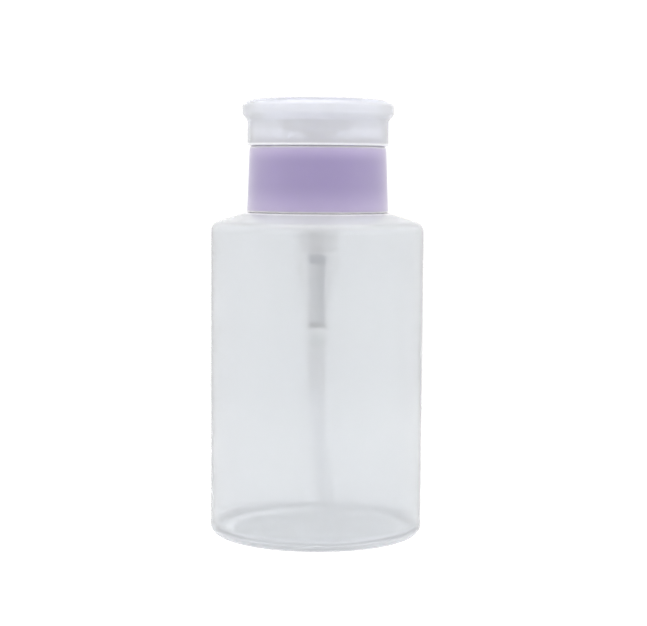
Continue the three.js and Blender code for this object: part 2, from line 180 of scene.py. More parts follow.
# materials: "clouds" is the size of the soft patches in which a finish goes from its first colour and roughness to its
# second; "grain" and "proud" are the width and height of the skin's grain; all are in mm, and the real grain, under
# 0.05 mm, is drawn coarser so that it shows

scattering = {"Subsurface Weight": 1.0, "Subsurface Radius": (1, 1, 1)}  # milky grades spread all colours alike


def newMaterial(name, sockets):
    material = bpy.data.materials.new(name)
    material.use_nodes = True
    shader = material.node_tree.nodes["Principled BSDF"]
    for label, value in sockets.items():
        shader.inputs[label].default_value = value
    return material, material.node_tree, shader


def mottled(finish):  # a material with clouds and grain
    material, tree, shader = newMaterial(finish["name"], finish["sockets"])
    where = addNode(tree, "ShaderNodeTexCoord").outputs["Object"]
    clouds = addNode(tree, "ShaderNodeTexNoise", {
        "Vector": where, "Scale": 1 / (finish["clouds"] * mm), "Detail": 2.0}).outputs["Fac"]
    pale, deep = finish["colours"]
    tint = addNode(tree, "ShaderNodeMix", {0: clouds, 6: linear(pale), 7: linear(deep)}, data_type="RGBA")
    tree.links.new(tint.outputs[2], shader.inputs["Base Color"])
    smooth, dull = finish["roughness"]
    dulled = addNode(tree, "ShaderNodeMapRange", {"Value": clouds, "To Min": smooth, "To Max": dull})
    tree.links.new(dulled.outputs[0], shader.inputs["Roughness"])
    grain = addNode(tree, "ShaderNodeTexNoise", {
        "Vector": where, "Scale": 1 / (finish["grain"] * mm), "Detail": 3.0}).outputs["Fac"]
    bump = addNode(tree, "ShaderNodeBump", {"Strength": 1.0, "Distance": finish["proud"] * mm, "Height": grain})
    tree.links.new(bump.outputs[0], shader.inputs["Normal"])
    return material, tree, shader


def fromAxis(tree):  # distance from the bottle's axis, and height
    where = addNode(tree, "ShaderNodeTexCoord").outputs["Object"]
    x, y, height = addNode(tree, "ShaderNodeSeparateXYZ", {0: where}).outputs
    across = addNode(tree, "ShaderNodeCombineXYZ", {0: x, 1: y})
    return addNode(tree, "ShaderNodeVectorMath", {0: across}, operation="LENGTH").outputs["Value"], height


def zone(tree, *bands):  # 0 to 1 where all bands overlap; each is a measure, a base and its soft edge from there, in mm
    shares = [addNode(tree, "ShaderNodeMapRange", {
        "Value": measure, "From Min": (base + start) * mm, "From Max": (base + end) * mm},
        interpolation_type="SMOOTHSTEP").outputs[0] for measure, base, (start, end) in bands]
    share = shares[0]
    for other in shares[1:]:
        share = addNode(tree, "ShaderNodeMath", {0: share, 1: other}, operation="MULTIPLY").outputs[0]
    return share


def shaded(tree, shader, hexColour, share):  # mixes a second colour over the base colour
    base = shader.inputs["Base Color"].links[0].from_socket
    tint = addNode(tree, "ShaderNodeMix", {0: share, 6: base, 7: linear(hexColour)}, data_type="RGBA")
    tree.links.new(tint.outputs[2], shader.inputs["Base Color"])


frostedFinish = {
    "name": "frosted_polypropylene_blow_moulded",
    "sockets": {"IOR": 1.4, "Subsurface Scale": 1 * mm, **scattering},
    "colours": ("#F2F4F6", "#EFF1F4"), "clouds": 24, "roughness": (0.1, 0.125), "grain": 0.9, "proud": 0.0015,
    "clear": 0.735, "base": (4.6, 1.2), "baseClear": 0.38, "shoulder": (85.5, 89), "shoulderClear": 0.57,
    "seat": (-0.8, -0.2), "seatClear": 0.3, "seatLightColour": "#F5F3FB", "blasted": (4.5, 2), "blastedDuller": 0.08,
    "rimShadeColour": "#CFD1D5", "rimHeight": (5, 1.5), "rimRadius": (25, 27), "rimCentre": (27, 3), "rimSkin": (2.3, 2.8)}


def frostedPolypropylene():  # blow moulded and milky: what is inside shows softly
    f = frostedFinish
    material, tree, shader = mottled(f)
    radius, height = fromAxis(tree)
    seat = spanOf("screw_collar")[0]
    # painted shade: the outer skin of the base's corner is painted greyer, for the shade where it stands on the table;
    # its distance from the corner's centre tells it from the inner skin
    off = addNode(tree, "ShaderNodeCombineXYZ", {
        axis: addNode(tree, "ShaderNodeMath", {0: measure, 1: centre * mm}, operation="SUBTRACT")
        for axis, measure, centre in zip("XY", (radius, height), f["rimCentre"])})
    far = addNode(tree, "ShaderNodeVectorMath", {0: off}, operation="LENGTH").outputs["Value"]
    rim = zone(tree, (height, 0, f["rimHeight"]), (radius, 0, f["rimRadius"]), (far, 0, f["rimSkin"]))
    shaded(tree, shader, f["rimShadeColour"], rim)
    # painted light: the seat under the collar's foot is painted lighter against the shade of the slit, tinted lilac as
    # a painted reflection of the collar
    shaded(tree, shader, f["seatLightColour"], zone(tree, (height, seat, f["seat"])))
    # the foot of the mould is blasted more coarsely
    even = shader.inputs["Roughness"].links[0].from_socket
    coarse = addNode(tree, "ShaderNodeMath", {
        0: zone(tree, (height, 0, f["blasted"])), 1: f["blastedDuller"], 2: even}, operation="MULTIPLY_ADD")
    tree.links.new(coarse.outputs[0], shader.inputs["Roughness"])
    # base, shoulder and seat are left thicker when the bottle is blown, so they are milkier
    thin = f["clear"]
    for place, start in (("base", 0), ("shoulder", 0), ("seat", seat)):
        thick = addNode(tree, "ShaderNodeMix", {
            "Factor": zone(tree, (height, start, f[place])), "A": f["clear"], "B": f[place + "Clear"]})
        thin = addNode(tree, "ShaderNodeMath", {0: thin, 1: thick}, operation="MINIMUM")
    tree.links.new(thin.outputs[0], shader.inputs["Transmission Weight"])
    return material


lilacFinish = {
    "name": "lilac_polypropylene_moulded",
    "sockets": {"Transmission Weight": 0.38, "IOR": 1.49, "Coat Weight": 1.0, "Coat Roughness": 0.3,
                "Subsurface Scale": 3 * mm, **scattering},
    "colours": ("#AB9EC7", "#A699C3"), "clouds": 12, "roughness": (0.4, 0.48), "grain": 0.8, "proud": 0.004,
    "outerWall": (18.4, 18.8), "paintedGlowColour": "#C6BADC", "footFade": (8, 0), "topFade": (-6.5, -2),
    "paintedEdgeLight": "#FFFCFF", "footEdge": (0.6, 0.25), "topEdge": (-2.6, -2)}


def lilacPolypropylene():  # injection moulded and dyed right through: satin, with a painted glow at its edges
    f = lilacFinish
    material, tree, shader = mottled(f)
    foot, top, _ = spanOf("screw_collar")
    radius, height = fromAxis(tree)
    outside = (radius, 0, f["outerWall"])
    thin = addNode(tree, "ShaderNodeMath", {
        0: zone(tree, (height, foot, f["footFade"]), outside),
        1: zone(tree, (height, top, f["topFade"]), outside)}, operation="MAXIMUM").outputs[0]
    shaded(tree, shader, f["paintedGlowColour"], thin)  # painted light: the wall's ends are painted paler, as a glow where light gets in
    # painted light: near-white lines at the top edge, against the shadow of the cap's overhang, and at the foot,
    # against the shade of the slit
    shaded(tree, shader, f["paintedEdgeLight"], zone(tree, (height, top, f["topEdge"]), outside))
    shaded(tree, shader, f["paintedEdgeLight"], zone(tree, (height, foot, f["footEdge"])))
    return material


hazyFinish = {
    "name": "hazy_polypropylene_moulded",
    "sockets": {"IOR": 1.36, "Specular IOR Level": 0.15, "Subsurface Scale": 3 * mm, **scattering},
    "colours": ("#F3F4FF", "#F0F2FE"), "clouds": 16, "roughness": (0.12, 0.15), "grain": 0.7, "proud": 0.002,
    "clear": 0.59, "footEdge": (0.9, 0.2), "footClear": 0.2, "topShadeColour": "#DDDFEA", "topShade": (-1.6, -0.4)}


def hazyPolypropylene():  # clarified grade, moulded with a fine matt: a little haze over what it covers
    f = hazyFinish
    material, tree, shader = mottled(f)
    foot, top, _ = spanOf("dust_cap")
    _, height = fromAxis(tree)
    clear = addNode(tree, "ShaderNodeMix", {
        "Factor": zone(tree, (height, foot, f["footEdge"])), "A": f["clear"], "B": f["footClear"]})
    tree.links.new(clear.outputs[0], shader.inputs["Transmission Weight"])  # its lower edge glows
    topShade = zone(tree, (height, top, f["topShade"]))
    shaded(tree, shader, f["topShadeColour"], topShade)  # painted shade: the top face is painted greyer, to dim the overhead light on it
    return material


naturalFinish = {  # undyed mouldings of the pump: waxy and see-through where thin
    "name": "natural_polypropylene_moulded", "sockets": {"Transmission Weight": 0.97, "IOR": 1.32},
    "colours": ("#FBFAF9", "#F9F8F8"), "clouds": 8, "roughness": (0.09, 0.13), "grain": 0.6, "proud": 0.0005}

milkyFinish = {  # the dish: a thicker moulding, milkier than the pump, tinted lilac as a painted reflection of the collar round it
    "name": "milky_polypropylene_moulded",
    "sockets": {"Transmission Weight": 0.88, "IOR": 1.4, "Subsurface Scale": 1 * mm, **scattering},
    "colours": ("#E9E2FF", "#E6DFFE"), "clouds": 8, "roughness": (0.08, 0.11), "grain": 0.6, "proud": 0.001}

softFinish = {  # soft sealing pieces: waxy, with a fine matt skin, see-through where light comes from behind
    "name": "soft_polyethylene_moulded", "sockets": {"Transmission Weight": 0.98, "IOR": 1.2},
    "colours": ("#EEEDEE", "#EBEAEC"), "clouds": 5, "roughness": (0.14, 0.2), "grain": 0.5, "proud": 0.001}

glassFinish = {  # ground and polished glass balls: clear, with the faint green of soda glass
    "name": "soda_glass_polished", "sockets": {"Transmission Weight": 1.0, "IOR": 1.52},
    "colours": ("#D2D9D8", "#CCD4D3"), "clouds": 3, "roughness": (0.02, 0.05), "grain": 0.4, "proud": 0.001}

tubingFinish = {
    "name": "extruded_polyethylene", "sockets": {"Transmission Weight": 0.98, "IOR": 1.4},
    "colours": ("#F8F8F9", "#F6F6F8"), "clouds": 6, "roughness": (0.14, 0.18), "grain": 0.6, "proud": 0.001,
    "endColour": "#FFFFFF", "end": (18, 6)}


def extrudedPolyethylene():  # drawn tube: thin and faintly milky, clearer towards its lower end
    material, tree, shader = mottled(tubingFinish)
    _, height = fromAxis(tree)
    shaded(tree, shader, tubingFinish["endColour"], zone(tree, (height, 0, tubingFinish["end"])))
    return material


steelFinish = {
    "name": "spring_steel_drawn", "sockets": {"Metallic": 1.0},
    "colours": ("#C2C5CE", "#B4B7C0"), "clouds": 2, "roughness": (0.28, 0.4), "grain": 0.15, "proud": 0.004,
    "headShadeColour": "#808AA8", "head": (-3, -2.6), "footShadeColour": "#2E3242", "foot": (1.7, 1.4)}


def springSteel():  # drawn stainless wire: bright metal with a fine grain
    f = steelFinish
    material, tree, shader = mottled(f)
    foot, top, _ = spanOf("return_spring")
    _, height = fromAxis(tree)
    shaded(tree, shader, f["headShadeColour"], zone(tree, (height, top, f["head"])))  # painted shade: its closed ends are painted darker, the foot most of all
    shaded(tree, shader, f["footShadeColour"], zone(tree, (height, foot, f["foot"])))  # most of all the one in the liquid
    return material


frosted = frostedPolypropylene()
lilac = lilacPolypropylene()
hazy = hazyPolypropylene()
natural, milky, soft, glass = [mottled(f)[0] for f in (naturalFinish, milkyFinish, softFinish, glassFinish)]
tubing = extrudedPolyethylene()
steel = springSteel()
print("materials: made", len(bpy.data.materials))


# screw thread, one tree for the neck and for the collar

def threadTree():
    tree, given = nodeTree("screwThread", {"Float": (
        "Wall", "Tolerance", "Rise", "Pitch", "Start", "First turn", "Turns", "Half width", "Flank", "Run out")})
    x, y, z = addNode(tree, "ShaderNodeSeparateXYZ", {0: addNode(tree, "GeometryNodeInputPosition")}).outputs
    out = addNode(tree, "ShaderNodeCombineXYZ", {"X": x, "Y": y})
    radius = addNode(tree, "ShaderNodeVectorMath", {0: out}, operation="LENGTH").outputs["Value"]
    onWall = addNode(tree, "ShaderNodeMath", {
        0: radius, 1: given["Wall"], 2: given["Tolerance"]}, operation="COMPARE")
    # how many turns a point has climbed, and how far it is off the thread's line
    angle = addNode(tree, "ShaderNodeMath", {0: y, 1: x}, operation="ARCTAN2")
    around = addNode(tree, "ShaderNodeMath", {0: angle, 1: math.tau}, operation="DIVIDE")
    height = addNode(tree, "ShaderNodeMath", {0: z, 1: given["Start"]}, operation="SUBTRACT")
    climbed = addNode(tree, "ShaderNodeMath", {0: height, 1: given["Pitch"]}, operation="DIVIDE")
    climb = addNode(tree, "ShaderNodeMath", {0: climbed, 1: around}, operation="SUBTRACT")
    whole = addNode(tree, "ShaderNodeMath", {0: climb}, operation="ROUND")
    rest = addNode(tree, "ShaderNodeMath", {0: climb, 1: whole}, operation="SUBTRACT")
    share = addNode(tree, "ShaderNodeMath", {0: rest}, operation="ABSOLUTE")
    off = addNode(tree, "ShaderNodeMath", {0: share, 1: given["Pitch"]}, operation="MULTIPLY")
    inside = addNode(tree, "ShaderNodeMath", {0: given["Half width"], 1: off}, operation="SUBTRACT")
    ridge = addNode(tree, "ShaderNodeMath", {0: inside, 1: given["Flank"]}, operation="DIVIDE", use_clamp=True)
    # the ridge runs out at both ends
    turn = addNode(tree, "ShaderNodeMath", {0: whole, 1: around}, operation="ADD")
    along = addNode(tree, "ShaderNodeMath", {0: turn, 1: given["First turn"]}, operation="SUBTRACT")
    left = addNode(tree, "ShaderNodeMath", {0: given["Turns"], 1: along}, operation="SUBTRACT")
    toEnd = addNode(tree, "ShaderNodeMath", {0: along, 1: left}, operation="MINIMUM")
    faded = addNode(tree, "ShaderNodeMath", {0: toEnd, 1: given["Run out"]}, operation="DIVIDE", use_clamp=True)
    full = addNode(tree, "ShaderNodeMath", {0: ridge, 1: faded}, operation="MULTIPLY")
    rise = addNode(tree, "ShaderNodeMath", {0: full, 1: given["Rise"]}, operation="MULTIPLY")
    outward = addNode(tree, "ShaderNodeVectorMath", {0: out}, operation="NORMALIZE")
    offset = addNode(tree, "ShaderNodeVectorMath", {0: outward, "Scale": rise}, operation="SCALE")
    moved = addNode(tree, "GeometryNodeSetPosition", {
        "Geometry": given["Geometry"], "Selection": onWall, "Offset": offset})
    return endTree(tree, moved, given["Material"])


threadSizes = {
    "pitch": 4, "height": 1.1, "clearance": 0.4, "flankGap": 0.35, "flankAngle": 25, "start": 1.2,
    "neckTurns": 1.5, "collarLag": 0.35, "collarTurns": 1.25, "runOut": 0.12, "rowStep": 0.2, "rowGap": 0.1,
    "tolerance": 0.02}
thread = threadTree()


def threadValues(wall, way, start, firstTurn, turns, material):
    s = threadSizes
    lean = math.tan(math.radians(s["flankAngle"]))
    middle = (s["height"] + s["clearance"]) / 2
    half = (s["pitch"] / 2 - s["flankGap"]) / 2 + middle * lean
    return {
        "Wall": wall * mm, "Tolerance": s["tolerance"] * mm, "Rise": way * s["height"] * mm,
        "Pitch": s["pitch"] * mm, "Start": start * mm, "First turn": float(firstTurn), "Turns": turns,
        "Half width": half * mm, "Flank": s["height"] * lean * mm, "Run out": s["runOut"], "Material": material}


def rows(radius, low, high):  # close points up or down a wall that takes a thread
    count = round(abs(high - low) / threadSizes["rowStep"])
    return [(radius, low + (high - low) * i / count) for i in range(count + 1)]


# bottle

bottleSizes = {
    "wall": 1, "floor": 1, "recess": 0.8, "recessCorner": 1.2, "standingRing": 4, "baseCorner": 3, "neckHeight": 14.55,
    "neckBore": 14.6, "neckWall": 1.5, "neckRoot": 0.6, "neckCorner": 1, "seatRadius": 20.05, "seatEdge": 0.8,
    "innerSeatEdge": 0.6, "shoulderSlope": 17, "shoulderCorner": 3.2, "edge": 0.4, "filletSteps": 6, "facets": 160}


def makeBottle():
    s = bottleSizes
    foot, top, body = spanOf("bottle")
    seat = top - s["neckHeight"]
    neck = s["neckBore"] + s["neckWall"]
    fall = math.tan(math.radians(s["shoulderSlope"]))
    inside = body - s["wall"]
    under = seat - s["wall"]
    innerSeat = s["seatRadius"] - s["wall"] * math.tan(math.radians(s["shoulderSlope"] / 2))
    ring = body - s["baseCorner"] - s["standingRing"]
    gap = threadSizes["rowGap"]
    outline = rounded([
        (0, foot + s["recess"]),
        (ring - s["recess"], foot + s["recess"], s["recessCorner"]),
        (ring, foot, s["edge"]),
        (body, foot, s["baseCorner"]),
        (body, seat - (body - s["seatRadius"]) * fall, s["shoulderCorner"]),
        (s["seatRadius"], seat, s["seatEdge"]),
        (neck, seat, s["neckRoot"]),
        *rows(neck, seat + s["neckRoot"] + gap, top - s["edge"] - gap),
        (neck, top, s["edge"]),
        (s["neckBore"], top, s["edge"]),
        (s["neckBore"], under, s["neckCorner"]),
        (innerSeat, under, s["innerSeatEdge"]),
        (inside, under - (inside - innerSeat) * fall, s["shoulderCorner"] - s["wall"]),
        (inside, foot + s["recess"] + s["floor"], s["baseCorner"] - s["wall"]),
        (0, foot + s["recess"] + s["floor"]),
    ], s["filletSteps"])
    piece = turned("frosted_bottle", outline, frosted, s["facets"])
    start = seat + threadSizes["start"] + threadSizes["pitch"] / 2
    return grown(piece, thread, threadValues(neck, 1, start, 0, threadSizes["neckTurns"], frosted))


bottle = settle(makeBottle(), "bottle", "bottle")
print("bottle:", len(bottle.data.polygons), "faces")


# screw collar

collarSizes = {
    "bore": 17.6, "wall": 1.65, "plate": 1.3, "edgeHeight": 2, "edgeInset": 0.6, "edgeSteps": 8, "spigotHeight": 1.8,
    "spigotOuter": 18.35, "spigotWall": 1, "hole": 4, "beadRadius": 16.2, "beadTop": 106.6, "beadHeight": 0.6,
    "beadFade": 0.3, "beadGap": 0.4, "edge": 0.15, "facets": 160}


def makeCollar():
    s = collarSizes
    foot, top, footRadius = spanOf("screw_collar")
    plateTop = top - s["spigotHeight"]
    plateFoot = plateTop - s["plate"]
    upper = s["bore"] + s["wall"]
    spigotBore = s["spigotOuter"] - s["spigotWall"]
    beadFoot = s["beadTop"] - s["beadHeight"]
    chamfer = (s["bore"] - s["beadRadius"]) / 2
    quarter = [math.pi / 2 * i / s["edgeSteps"] for i in range(s["edgeSteps"] + 1)]
    inset, drop = s["edgeInset"], s["edgeHeight"]
    outline = rounded([
        (s["bore"], foot, s["edge"]),
        (footRadius, foot, s["edge"]),
        *[(upper - inset * (1 - math.cos(a)), plateTop - drop * (1 - math.sin(a))) for a in quarter],
        (s["spigotOuter"], plateTop, fine),
        (s["spigotOuter"], top, s["edge"]),
        (spigotBore, top, s["edge"]),
        (spigotBore, plateTop, eased),
        (s["hole"], plateTop, s["edge"]),
        (s["hole"], plateFoot, s["edge"]),
        (s["bore"], plateFoot, eased),
        (s["bore"], s["beadTop"], fine),
        (s["beadRadius"], s["beadTop"], s["edge"]),
        (s["beadRadius"], beadFoot, s["edge"]),
        (s["bore"], beadFoot - chamfer, s["beadFade"]),
        *rows(s["bore"], beadFoot - chamfer - s["beadGap"], foot + s["edge"] + threadSizes["rowGap"]),
    ])
    piece = turned("lilac_collar", outline, lilac, s["facets"])
    start = spanOf("bottle")[1] - bottleSizes["neckHeight"] + threadSizes["start"]
    return grown(piece, thread, threadValues(
        s["bore"], -1, start, threadSizes["collarLag"], threadSizes["collarTurns"], lilac))


collar = settle(makeCollar(), "collar", "screw_collar")
print("collar:", len(collar.data.polygons), "faces")


# dust cap

capSizes = {
    "wall": 1.2, "top": 1.1, "bore": 18.6, "ledge": 0.6, "ledgeHeight": 1.75, "corner": 2, "lipDrop": 2.3,
    "lipBand": 1.5, "lipUnder": 2.6, "lipRoll": 6.4, "flareSteps": 12, "rollSteps": 14, "edge": 0.12, "facets": 160}


def makeCap():
    s = capSizes
    foot, top, lip = spanOf("dust_cap")
    outer = s["bore"] + s["wall"]
    inner = s["bore"] - s["ledge"]
    lipTop = top - s["lipDrop"]
    lipFoot = lipTop - s["lipBand"]
    flare = [i / s["flareSteps"] for i in range(s["flareSteps"] + 1)]
    roll = [math.pi / 2 * i / s["rollSteps"] for i in range(s["rollSteps"] + 1)]
    outline = rounded([
        (0, top - s["top"]),
        (inner, top - s["top"], s["corner"]),
        (inner, foot + s["ledgeHeight"], small),
        (s["bore"], foot + s["ledgeHeight"], fine),
        (s["bore"], foot, s["edge"]),
        (outer, foot, s["edge"]),
        *[(outer + (lip - outer) * t * t * (3 - 2 * t), lipFoot - s["lipUnder"] * (1 - t)) for t in flare],
        *[(lip - s["lipRoll"] * (1 - math.cos(a)), lipTop + s["lipDrop"] * math.sin(a)) for a in roll],
        (0, top),
    ])
    return turned("hazy_cap", outline, hazy, s["facets"])


cap = settle(makeCap(), "cap", "dust_cap")
print("cap:", len(cap.data.polygons), "faces")


# press dish with its slotted insert

dishSizes = {
    "stemBore": 2.35, "stemDepth": 3.037, "hub": 3.5, "hubRoot": 0.6, "wall": 1, "side": 2.3, "rise": 1.4, "floor": 9.5,
    "underBend": 2.5, "overBend": 2, "outletBore": 1.85, "boss": 2.75, "bossHeight": 1, "insertRoom": 3.7, "edge": 0.2,
    "facets": 112}


def makeDish():
    s = dishSizes
    foot, top, rim = spanOf("press_dish")
    under = top - s["side"] - s["rise"]
    over = under + s["wall"]
    outline = rounded([
        (s["stemBore"], foot, s["edge"]),
        (s["hub"], foot, s["edge"]),
        (s["hub"], under, s["hubRoot"]),
        (s["floor"], under + s["rise"], s["underBend"]),
        (rim, top, small),
        (rim - s["wall"] / 2, top, small),
        (s["floor"] - s["wall"] / 2, over + s["rise"], s["overBend"]),
        (s["insertRoom"], over, fine),
        (s["boss"], over, hair),
        (s["boss"], over + s["bossHeight"], s["edge"]),
        (s["outletBore"], over + s["bossHeight"], s["edge"]),
        (s["outletBore"], foot + s["stemDepth"], hair),
        (s["stemBore"], foot + s["stemDepth"], hair),
    ])
    return turned("dish", outline, milky, s["facets"])


insertSizes = {
    "pin": 0.65, "pinLength": 1.6, "ceiling": 1.4, "bore": 2.85, "top": 0.8, "slots": 4, "slotWidth": 0.7,
    "slotInset": 0.35, "slotLength": 1.2, "overcut": 0.1, "edge": 0.12, "facets": 64}


def slotTree():  # cuts a ring of slots through the top
    tree, given = nodeTree("slotRing", {"Int": ["Count"], "Float": ("Near end", "Length", "Width", "Height", "Depth")})
    points = addNode(tree, "GeometryNodePoints", {"Count": given["Count"]})
    index = addNode(tree, "GeometryNodeInputIndex")
    whole = addNode(tree, "ShaderNodeMath", {0: index, 1: math.tau}, operation="MULTIPLY")
    angle = addNode(tree, "ShaderNodeMath", {0: whole, 1: given["Count"]}, operation="DIVIDE")
    halfLength = addNode(tree, "ShaderNodeMath", {0: given["Length"], 1: 2.0}, operation="DIVIDE")
    halfDepth = addNode(tree, "ShaderNodeMath", {0: given["Depth"], 1: 2.0}, operation="DIVIDE")
    middle = addNode(tree, "ShaderNodeMath", {0: given["Near end"], 1: halfLength}, operation="ADD")
    cosine = addNode(tree, "ShaderNodeMath", {0: angle}, operation="COSINE")
    sine = addNode(tree, "ShaderNodeMath", {0: angle}, operation="SINE")
    place = addNode(tree, "ShaderNodeCombineXYZ", {
        "X": addNode(tree, "ShaderNodeMath", {0: cosine, 1: middle}, operation="MULTIPLY"),
        "Y": addNode(tree, "ShaderNodeMath", {0: sine, 1: middle}, operation="MULTIPLY"),
        "Z": addNode(tree, "ShaderNodeMath", {0: given["Height"], 1: halfDepth}, operation="ADD")})
    placed = addNode(tree, "GeometryNodeSetPosition", {"Geometry": points, "Position": place})
    size = addNode(tree, "ShaderNodeCombineXYZ", {"X": given["Length"], "Y": given["Width"], "Z": given["Depth"]})
    cutter = addNode(tree, "GeometryNodeMeshCube", {"Size": size})
    turn = addNode(tree, "ShaderNodeCombineXYZ", {"Z": angle})
    cutters = addNode(tree, "GeometryNodeInstanceOnPoints", {"Points": placed, "Instance": cutter, "Rotation": turn})
    cut = addNode(tree, "GeometryNodeMeshBoolean", {
        "Mesh 1": given["Geometry"], "Mesh 2": cutters}, operation="DIFFERENCE")
    return endTree(tree, cut, given["Material"])


def makeInsert():
    s = insertSizes
    foot, top, outer = spanOf("outlet_insert")
    seat = foot + s["pinLength"] - s["ceiling"]
    ceiling = seat + s["ceiling"]
    outline = rounded([
        (0, foot),
        (s["pin"], foot, small),
        (s["pin"], ceiling, fine),
        (s["bore"], ceiling, fine),
        (s["bore"], seat, hair),
        (outer, seat, s["edge"]),
        (outer, top, s["top"] / 2),
        (0, top),
    ])
    piece = turned("insert", outline, natural, s["facets"])
    return grown(piece, slotTree(), {
        "Count": s["slots"], "Near end": (s["pin"] + s["slotInset"]) * mm, "Length": s["slotLength"] * mm,
        "Width": s["slotWidth"] * mm, "Height": (ceiling - s["overcut"]) * mm, "Depth": 2 * s["top"] * mm,
        "Material": natural})


dish = settle(makeDish(), "press_head", "press_dish")
insert = settle(makeInsert(), "press_head", "outlet_insert")
print("dish and insert:", len(dish.data.polygons), len(insert.data.polygons), "faces")


# stem and piston

stemSizes = {
    "bore": 0.81, "cup": 1.85, "step": 0.4, "pistonGap": 0.05, "noseLength": 3.4, "noseRadius": 1.6, "noseBore": 0.7,
    "noseEdge": 0.25, "edge": 0.1, "facets": 64}
pistonSizes = {"lip": 1.6, "waist": 0.9, "waistBend": 0.4, "bore": 1.95, "edge": 0.12, "facets": 80}


def makeStem():
    s = stemSizes
    foot, top, outer = spanOf("piston_stem")
    shoulder = spanOf("piston")[1] + s["pistonGap"]
    waist = outer - s["step"]
    shelf = foot + s["noseLength"]
    outline = rounded([
        (s["noseBore"], foot, s["edge"]),
        (s["noseRadius"], foot, s["noseEdge"]),
        (s["noseRadius"], shelf, s["edge"]),
        (waist, shelf, s["edge"]),
        (waist, shoulder, hair),
        (outer, shoulder, s["edge"]),
        (outer, top, hair),
        (s["cup"], top, hair),
        (s["bore"], top - (s["cup"] - s["bore"]), fine),
        (s["bore"], shelf, hair),
        (s["noseBore"], shelf, hair),
    ])
    return turned("stem", outline, natural, s["facets"])


def makePiston():
    s = pistonSizes
    foot, top, outer = spanOf("piston")
    middle = outer - s["waist"]
    outline = rounded([
        (s["bore"], foot, s["edge"]),
        (outer - s["lip"] / 2, foot, s["edge"]),
        (outer, foot + s["lip"] / 2, s["edge"]),
        (outer, foot + s["lip"], s["edge"]),
        (middle, foot + s["lip"] + s["waist"], s["waistBend"]),
        (middle, top - s["lip"] - s["waist"], s["waistBend"]),
        (outer, top - s["lip"], s["edge"]),
        (outer, top, s["edge"]),
        (s["bore"], top, s["edge"]),
    ])
    return turned("double_lip_piston", outline, soft, s["facets"])


settle(makeStem(), "press_head", "piston_stem")
settle(makePiston(), "press_head", "piston")
print("stem and piston: made")


# pump housing with its retainer and gasket

housingSizes = {
    "chamber": 5.2, "barrel": 6.25, "springBore": 2.9, "springWall": 0.75, "coneFoot": 0.6, "coneShare": 0.35,
    "taperShare": 0.64, "chamberEnd": 75.3, "springSeat": 58.1, "ballBore": 2.35, "ballSeat": 54.08,
    "inletBore": 1.164, "inletTop": 52.894, "tubeStop": 51.894, "socket": 2.3, "socketWall": 0.5, "socketBend": 1.5,
    "outerBend": 3, "outerTaper": 6, "chamberBend": 1, "innerBend": 2, "innerTaper": 4, "flangeThickness": 1.6,
    "flangeRoot": 0.6, "plug": 13.8, "plugWall": 0.9, "plugDepth": 2, "plugRoot": 0.3, "rimRoom": 6.2, "rimDepth": 0.9,
    "vent": 0.6, "ventDrop": 7, "ventSides": 24, "edge": 0.15, "facets": 96}
retainerSizes = {
    "plate": 0.85, "cup": 4, "cupCorner": 0.3, "floor": 1, "cupFloor": 104.25, "outer": 5.1, "guide": 2.4,
    "sleeve": 2.6, "sleeveWall": 1.2, "sleeveRoot": 0.4, "edge": 0.12, "facets": 80}
gasketSizes = {"clearance": 0.2, "edge": 0.2, "facets": 128}


def ventTree():  # drills one hole through the wall
    tree, given = nodeTree("ventHole", {"Float": ("Radius", "Length", "Reach", "Height"), "Int": ["Sides"]})
    drill = addNode(tree, "GeometryNodeMeshCylinder", {
        "Vertices": given["Sides"], "Radius": given["Radius"], "Depth": given["Length"]})
    place = addNode(tree, "ShaderNodeCombineXYZ", {"Y": given["Reach"], "Z": given["Height"]})
    drilled = addNode(tree, "GeometryNodeTransform", {
        "Geometry": drill, "Translation": place, "Rotation": (math.pi / 2, 0, 0)})
    cut = addNode(tree, "GeometryNodeMeshBoolean", {
        "Mesh 1": given["Geometry"], "Mesh 2": drilled}, operation="DIFFERENCE")
    return endTree(tree, cut, given["Material"])


def makeHousing():
    s = housingSizes
    foot, top, flange = spanOf("pump_housing")
    flangeFoot = top - s["flangeThickness"]
    plugFoot = flangeFoot - s["plugDepth"]
    plugBore = s["plug"] - s["plugWall"]
    springTube = s["springBore"] + s["springWall"]
    drop = s["chamberEnd"] - s["springSeat"]
    coneEnd = s["chamberEnd"] - drop * s["coneShare"]
    taperEnd = s["chamberEnd"] - drop * s["taperShare"]
    socketOuter = s["socket"] + s["socketWall"]
    outline = rounded([
        (s["socket"], foot, small),
        (socketOuter, foot, eased),
        (socketOuter, s["tubeStop"], s["socketBend"]),
        (springTube, s["springSeat"], s["outerBend"]),
        (springTube, taperEnd, s["outerTaper"]),
        (springTube + s["coneFoot"], coneEnd, s["outerBend"]),
        (s["barrel"], s["chamberEnd"], s["outerBend"]),
        (s["barrel"], flangeFoot, s["flangeRoot"]),
        (plugBore, flangeFoot, s["plugRoot"]),
        (plugBore, plugFoot, eased),
        (s["plug"], plugFoot, eased),
        (s["plug"], flangeFoot, fine),
        (flange, flangeFoot, s["edge"]),
        (flange, top, s["edge"]),
        (s["rimRoom"], top, fine),
        (s["rimRoom"], top - s["rimDepth"], hair),
        (s["chamber"], top - s["rimDepth"], fine),
        (s["chamber"], s["chamberEnd"], s["chamberBend"]),
        (s["springBore"] + s["coneFoot"], coneEnd, s["innerBend"]),
        (s["springBore"], taperEnd, s["innerTaper"]),
        (s["springBore"], s["springSeat"], fine),
        (s["ballBore"], s["springSeat"], fine),
        (s["ballBore"], s["ballSeat"], fine),
        (s["inletBore"], s["inletTop"], fine),
        (s["inletBore"], s["tubeStop"], fine),
        (s["socket"], s["tubeStop"], fine),
    ])
    piece = turned("housing", outline, natural, s["facets"])
    return grown(piece, ventTree(), {
        "Radius": s["vent"] * mm, "Length": s["barrel"] * mm, "Reach": (s["chamber"] + s["barrel"]) / 2 * mm,
        "Height": (flangeFoot - s["ventDrop"]) * mm, "Sides": s["ventSides"], "Material": natural})


